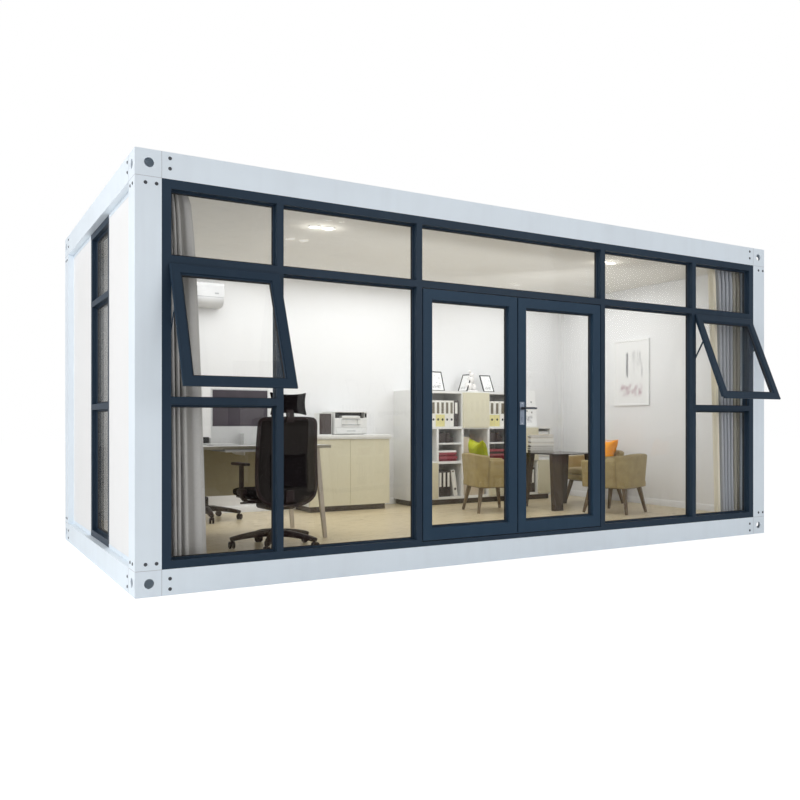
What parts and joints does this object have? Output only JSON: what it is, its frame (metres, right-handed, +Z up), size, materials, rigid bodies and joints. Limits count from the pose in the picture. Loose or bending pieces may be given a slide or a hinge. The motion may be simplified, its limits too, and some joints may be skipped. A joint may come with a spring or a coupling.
{
  "type": "shipping container cabin",
  "caption": "Flat-pack container cabin with a glazed front, double doors and open top-hung windows, fitted as a small office.",
  "frame": {"origin": "centre of the steel frame's footprint, on the underside of the middle floor joist, at ground level", "axes": "+X along the glazed front towards the end wall that has no window, +Y from the glazed front to the rear wall, +Z up"},
  "size_m": [6.055, 3.3209, 2.8],
  "materials": {
    "white_steel": "smooth white polyester powder coat on steel",
    "wall_panel": "white pre-painted steel facing of an insulated panel",
    "roof_sheet": "pre-painted light grey roof sheet",
    "joist_steel": "galvanised steel",
    "floor_deck": "bare cement board",
    "floor_finish": "light tan sheet flooring, satin",
    "ceiling": "warm white ceiling sheet, matt",
    "dark_aluminium": "dark slate blue-grey powder-coated aluminium, satin",
    "glass": "clear float glass",
    "tinted_glass": "dark tinted glass",
    "hardware": "satin stainless steel",
    "white_board": "white laminated board, satin",
    "beige_board": "beige laminated board, satin",
    "dark_board": "dark brown laminated board",
    "desk_leg": "grey-brown painted wood",
    "table_leg": "dark brown stained wood",
    "table_glass": "clear glass with a dark edge",
    "tub_leather": "khaki beige upholstery",
    "tub_leg": "brown stained wood",
    "black_plastic": "black-brown moulded plastic",
    "black_fabric": "black woven fabric",
    "curtain": "grey woven curtain cloth",
    "white_plastic": "white moulded plastic",
    "lamp": "lamp with a diffuser",
    "gasket": "black rubber glazing gasket",
    "fasteners": "dark bolt heads and plugs",
    "cushion_green": "lime green woven cushion cover",
    "cushion_orange": "orange woven cushion cover",
    "binder_board": "white covered board with coloured spines",
    "dark_binder": "black covered board",
    "book_cloth": "red cloth-bound covers with pale pages",
    "print_paper": "paper with a plain print",
    "display": "dark display glass",
    "picture": "white picture frame with a plain print"
  },
  "bodies": {
    "cabin": {"bottom_corner_fittings": "white_steel", "top_corner_fittings": "white_steel", "corner_posts": "white_steel", "bottom_long_beams": "white_steel", "bottom_end_beams": "white_steel", "top_long_beams": "white_steel", "top_end_beams": "white_steel", "floor_joists": "joist_steel", "floor_deck": "floor_deck", "floor_covering": "floor_finish", "ceiling": "ceiling", "roof_sheet": "roof_sheet", "rear_wall_panels": "wall_panel", "left_wall_panels": "wall_panel", "right_wall_panels": "wall_panel", "front_frame_jambs": "dark_aluminium", "front_frame_head": "dark_aluminium", "front_frame_sill": "dark_aluminium", "front_mullions": "dark_aluminium", "front_transoms": "dark_aluminium", "front_fixed_panes": "glass", "left_window_jambs": "dark_aluminium", "left_window_rails": "dark_aluminium", "left_window_panes": "tinted_glass", "sash_frames": "dark_aluminium", "sash_panes": "glass", "sash_stays": "hardware", "door_hinge_brackets": "dark_aluminium", "desk_top": "white_board", "desk_frame": "desk_leg", "monitor": "white_plastic", "office_chair_bases": "black_plastic", "office_chair_seats": "black_fabric", "office_chair_backs": "black_fabric", "office_chair_arms": "black_plastic", "low_cabinet": "white_board", "cupboard_doors": "beige_board", "cupboard_plinths": "dark_board", "shelving_uprights": "white_board", "shelving_boards": "white_board", "shelving_backs": "white_board", "printer": "white_plastic", "meeting_table_top": "table_glass", "meeting_table_legs": "table_leg", "tub_chair_shells": "tub_leather", "tub_chair_seats": "tub_leather", "tub_chair_legs": "tub_leg", "curtains": "curtain", "curtain_tracks": "hardware", "ceiling_lamps": "lamp", "air_conditioner": "white_plastic", "wall_picture": "picture"},
    "left_door": {"left_door_frame": "dark_aluminium", "left_door_pane": "glass", "left_door_hinges": "dark_aluminium"},
    "right_door": {"right_door_frame": "dark_aluminium", "right_door_pane": "glass", "right_door_hinges": "dark_aluminium", "door_lock_plates": "hardware"},
    "lever": {"door_lever": "hardware"}
  },
  "joints": [
    {"name": "left_door_swing", "type": "hinge", "parent": "cabin", "child": "left_door", "pos_m": [-0.9275, -1.425, 1.18], "axis": [0, 0, 1], "range_deg": [0, 90]},
    {"name": "right_door_swing", "type": "hinge", "parent": "cabin", "child": "right_door", "pos_m": [0.8425, -1.425, 1.18], "axis": [0, 0, -1], "range_deg": [0, 90]},
    {"name": "door_lever_turn", "type": "hinge", "parent": "right_door", "child": "lever", "pos_m": [-0.003, -1.465, 1.206], "axis": [0, 1, 0], "range_deg": [0, 45], "stiffness_Nm_per_rad": 2, "springref_deg": -17.19}
  ]
}
